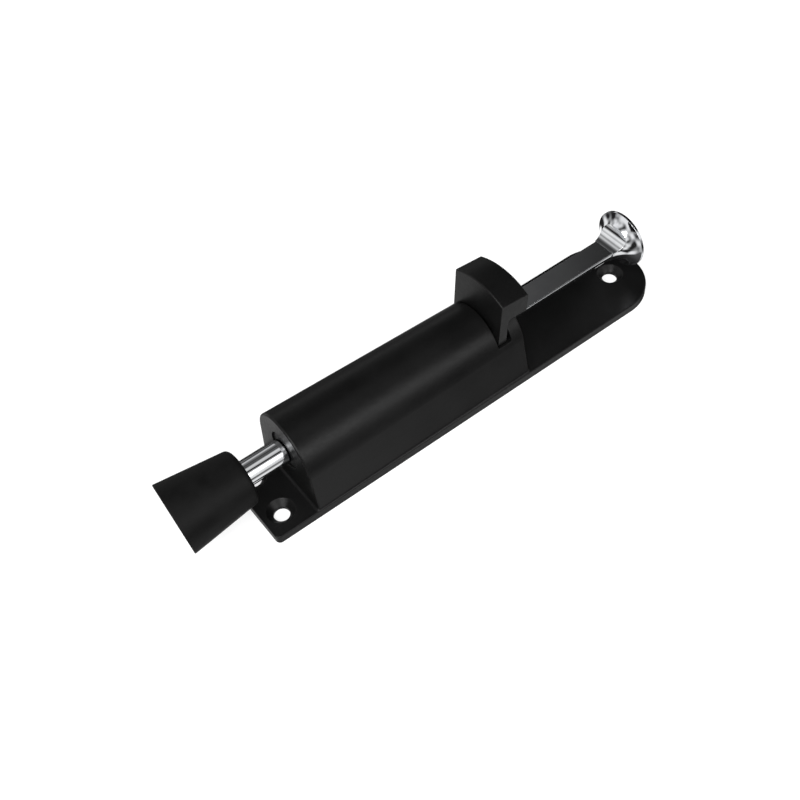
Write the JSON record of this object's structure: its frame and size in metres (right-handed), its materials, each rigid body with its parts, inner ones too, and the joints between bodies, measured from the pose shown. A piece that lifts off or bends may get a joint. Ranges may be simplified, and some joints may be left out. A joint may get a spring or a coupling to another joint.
{
  "type": "foot-operated door holder",
  "caption": "Black cast door holder with a sprung chromed plunger, rubber foot, flared push head and a release lever.",
  "frame": {"origin": "middle of the plate's flat back", "axes": "+X along the plunger from the rubber foot to the push head, +Z out of the door, +Y across the plate; +X points up when it is mounted"},
  "size_m": [0.1861, 0.032, 0.0378],
  "materials": {
    "black_coating": "satin powder coat on die-cast zinc",
    "chrome": "bright chrome plate",
    "black_rubber": "matt moulded rubber",
    "black_nylon": "moulded nylon",
    "spring_steel": "drawn wire",
    "zinc_steel": "bright zinc plate"
  },
  "bodies": {
    "casting": {"body_casting": "black_coating", "lower_guide_bush": "black_nylon", "upper_guide_bush": "black_nylon", "lower_spring_seat": "zinc_steel", "return_spring": "spring_steel", "stop_buffer": "black_rubber", "lever_pin": "zinc_steel", "lever_pin_clips": "spring_steel", "lever_spring": "spring_steel"},
    "plunger": {"plunger_rod": "chrome", "push_head": "chrome", "head_stud": "zinc_steel", "rubber_foot": "black_rubber", "foot_sleeve": "zinc_steel", "foot_washer": "zinc_steel", "foot_screw": "zinc_steel", "upper_spring_washer": "zinc_steel", "stop_collar": "zinc_steel", "collar_pin": "zinc_steel"},
    "lever": {"release_lever": "black_coating"}
  },
  "joints": [
    {"name": "plunger_slide", "type": "slide", "parent": "casting", "child": "plunger", "axis": [-1, 0, 0], "range_m": [0, 0.04], "stiffness_N_per_m": 350, "springref_m": -0.025, "deforming": ["return_spring"]},
    {"name": "lever_tilt", "type": "hinge", "parent": "casting", "child": "lever", "pos_m": [0.00945, 0, 0.0062], "axis": [0, -1, 0], "range_deg": [0, 2], "stiffness_Nm_per_rad": 0.1, "springref_deg": -6.88, "deforming": ["lever_spring"]}
  ]
}
